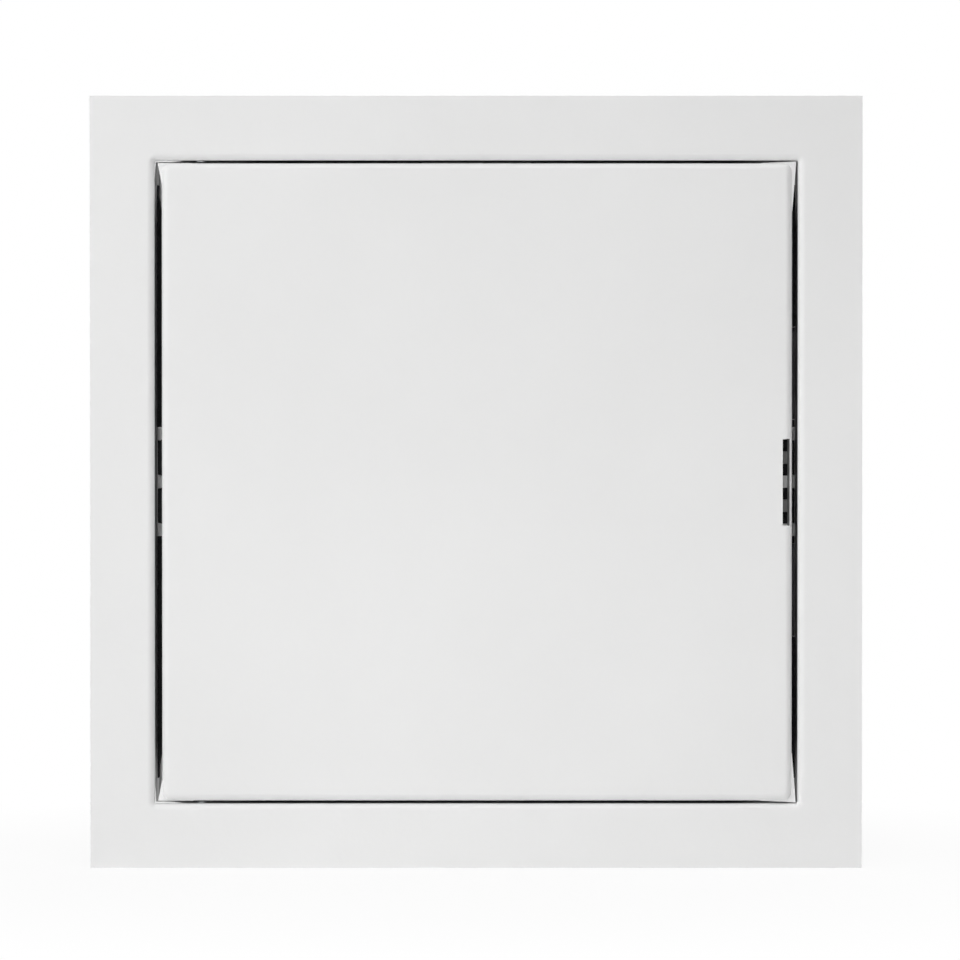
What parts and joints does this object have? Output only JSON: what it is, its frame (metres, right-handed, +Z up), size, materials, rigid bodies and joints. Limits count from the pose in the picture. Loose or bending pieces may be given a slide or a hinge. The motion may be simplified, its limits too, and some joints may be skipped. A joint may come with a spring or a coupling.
{
  "type": "access panel",
  "caption": "Flush square steel access panel: white folded frame with a cover flange, and a hinged tray door with a pull slot, hidden pivots, magnetic catches and foam draught seals.",
  "frame": {"origin": "middle of the clear opening, on the surface that the back of the flange lies on", "axes": "+X to the right and +Z up as the panel is seen from the front, +Y into the wall or ceiling void"},
  "size_m": [0.24, 0.033, 0.24],
  "materials": {
    "white_coat": "satin white powder coat on steel",
    "zinc_steel": "zinc plated",
    "rivet_metal": "plain, slightly dull",
    "catch_plastic": "moulded, fine matte, black",
    "ferrite": "sintered, matte",
    "seal_foam": "closed cell foam, black",
    "bumper_rubber": "moulded, grey",
    "nylon": "black nylon"
  },
  "bodies": {
    "frame_assembly": {"frame": "white_coat", "corner_gusset_top_left": "white_coat", "corner_gusset_top_right": "white_coat", "corner_gusset_bottom_left": "white_coat", "corner_gusset_bottom_right": "white_coat", "right_stop": "white_coat", "top_stop": "white_coat", "bottom_stop": "white_coat", "left_bracket": "white_coat", "bracket_rivets": "rivet_metal", "upper_catch_body": "catch_plastic", "lower_catch_body": "catch_plastic", "upper_catch_magnet": "ferrite", "lower_catch_magnet": "ferrite", "upper_outer_pole": "zinc_steel", "upper_inner_pole": "zinc_steel", "lower_outer_pole": "zinc_steel", "lower_inner_pole": "zinc_steel", "left_upper_seal": "seal_foam", "left_lower_seal": "seal_foam", "right_upper_seal": "seal_foam", "right_lower_seal": "seal_foam", "top_left_seal": "seal_foam", "top_right_seal": "seal_foam", "bottom_left_seal": "seal_foam", "bottom_right_seal": "seal_foam", "right_stop_pad": "seal_foam", "top_stop_pad": "seal_foam", "bottom_stop_pad": "seal_foam", "left_bracket_pad": "seal_foam", "pull_bumpers": "bumper_rubber", "catch_screws": "zinc_steel", "upper_hinge_pin": "zinc_steel", "lower_hinge_pin": "zinc_steel", "upper_pin_clip": "zinc_steel", "lower_pin_clip": "zinc_steel"},
    "door_assembly": {"door_panel": "white_coat", "upper_hinge_bush": "nylon", "lower_hinge_bush": "nylon"}
  },
  "joints": [
    {"name": "door_hinge", "type": "hinge", "parent": "frame_assembly", "child": "door_assembly", "pos_m": [-0.0858, 0.005, 0], "axis": [0, 0, -1], "range_deg": [0, 110]}
  ]
}
